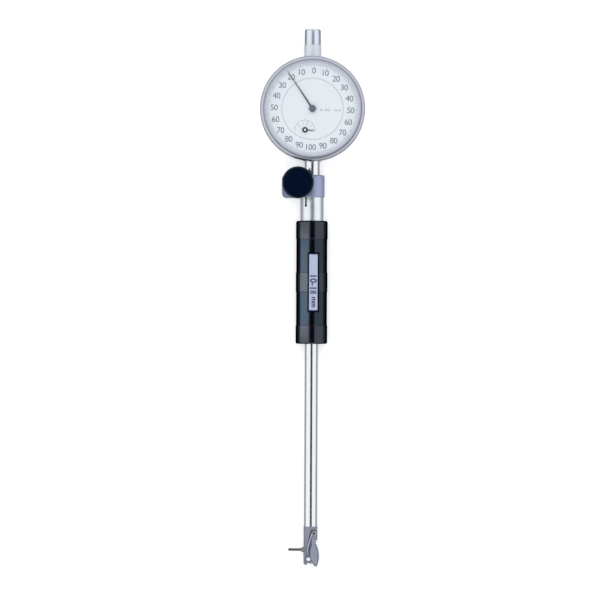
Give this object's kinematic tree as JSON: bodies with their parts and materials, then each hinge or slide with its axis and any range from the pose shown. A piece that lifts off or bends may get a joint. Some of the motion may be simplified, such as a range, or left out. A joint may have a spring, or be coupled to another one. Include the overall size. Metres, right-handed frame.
{
  "type": "dial bore gauge",
  "caption": "Two-point bore gauge: dial indicator clamped in a slit holder above a black grip and a slim tube, with a sprung guide and a sliding contact in the head.",
  "frame": {"origin": "middle of the lying gauge's outline, on the surface it lies on", "axes": "+Y along the gauge from the measuring head to the dial, +Z out of the dial, +X to the right of the dial"},
  "size_m": [0.056, 0.288, 0.0236],
  "materials": {
    "satin_steel": "satin chrome",
    "polished_steel": "polished chrome",
    "dull_steel": "dull nickel",
    "brushed_steel": "fine brushed chrome",
    "dark_steel": "blackened steel",
    "head_steel": "fine blasted steel",
    "carbide": "ground hard metal",
    "inner_steel": "turned steel",
    "brass": "turned brass",
    "dial_white": "matt white",
    "pointer_dark": "dark paint",
    "crystal": "clear acrylic",
    "grip_black": "semi-matt black",
    "knob_black": "smooth black",
    "label_metal": "satin, printed"
  },
  "bodies": {
    "gauge": {"indicator_case": "satin_steel", "back_cover": "satin_steel", "back_cover_screws": "inner_steel", "movement_plate": "brass", "centre_bridge": "brass", "bridge_pillars": "brass", "rear_cock": "brass", "inner_dial": "dial_white", "stem": "polished_steel", "upper_bush": "brass", "spindle_cap": "polished_steel", "pin_guide": "brass", "return_spring": "inner_steel", "holder": "brushed_steel", "clamp_ring": "dull_steel", "grip": "grip_black", "range_plate": "label_metal", "lower_tube": "polished_steel", "rod_bush": "brass", "rod_spring": "inner_steel", "head_body": "head_steel", "anvil": "dark_steel", "anvil_tip": "carbide", "anvil_nut": "dark_steel", "guide_pin": "dark_steel", "guide_spring": "inner_steel", "spring_pin": "dark_steel"},
    "rim": {"bezel": "satin_steel", "crystal": "crystal", "scale_ring": "dial_white"},
    "pointer": {"main_pointer": "pointer_dark", "centre_pinion": "inner_steel"},
    "counter": {"counter_pointer": "pointer_dark", "counter_pinion": "inner_steel", "counter_wheel": "brass"},
    "sector": {"rack_pinion": "inner_steel", "sector_gear": "brass"},
    "slider": {"spindle": "inner_steel", "contact_point": "inner_steel", "spindle_guide_pin": "inner_steel"},
    "rod": {"push_rod": "inner_steel", "rod_pad": "inner_steel"},
    "contact": {"contact_plunger": "head_steel", "contact_tip": "carbide"},
    "knob": {"clamp_knob": "knob_black", "clamp_screw": "inner_steel"},
    "wings": {"guide": "head_steel"}
  },
  "joints": [
    {"name": "pointer_turn", "type": "hinge", "parent": "gauge", "child": "pointer", "pos_m": [0, 0.101, 0.0176], "axis": [0, 0, -1], "range_deg": [0, 1440]},
    {"name": "counter_turn", "type": "hinge", "parent": "gauge", "child": "counter", "pos_m": [-0.00396, 0.0897, 0.0164], "axis": [0, 0, 1], "range_deg": [0, 144]},
    {"name": "sector_turn", "type": "hinge", "parent": "gauge", "child": "sector", "pos_m": [0.00339, 0.0949, 0.012], "axis": [0, 0, -1], "range_deg": [0, 28.8]},
    {"name": "spindle_slide", "type": "slide", "parent": "gauge", "child": "slider", "axis": [0, 1, 0], "range_m": [0, 0.0008], "stiffness_N_per_m": 300, "springref_m": -0.004, "deforming": ["return_spring"]},
    {"name": "rod_slide", "type": "slide", "parent": "gauge", "child": "rod", "axis": [0, 1, 0], "range_m": [0, 0.0008], "deforming": ["rod_spring"]},
    {"name": "contact_slide", "type": "slide", "parent": "gauge", "child": "contact", "axis": [-1, 0, 0], "range_m": [0, 0.0008]},
    {"name": "bezel_turn", "type": "hinge", "parent": "gauge", "child": "rim", "pos_m": [0, 0.101, 0.019], "axis": [0, 0, 1], "continuous": true},
    {"name": "knob_turn", "type": "hinge", "parent": "gauge", "child": "knob", "pos_m": [-0.0076, 0.0615, 0.01435], "axis": [0, 0, 1], "range_deg": [0, 360]},
    {"name": "guide_swing", "type": "hinge", "parent": "gauge", "child": "wings", "pos_m": [0.0018, -0.12614, 0.0085], "axis": [0, 0, 1], "range_deg": [-3.5, 0], "stiffness_Nm_per_rad": 0.01, "springref_deg": 20.05}
  ],
  "couplings": [
    {"joint": "rod_slide", "follows": "spindle_slide", "ratio": 1},
    {"joint": "contact_slide", "follows": "spindle_slide", "ratio": 1},
    {"joint": "sector_turn", "follows": "spindle_slide", "rad_per_m": 628.32},
    {"joint": "counter_turn", "follows": "spindle_slide", "rad_per_m": 3141.6},
    {"joint": "pointer_turn", "follows": "spindle_slide", "rad_per_m": 31416}
  ]
}
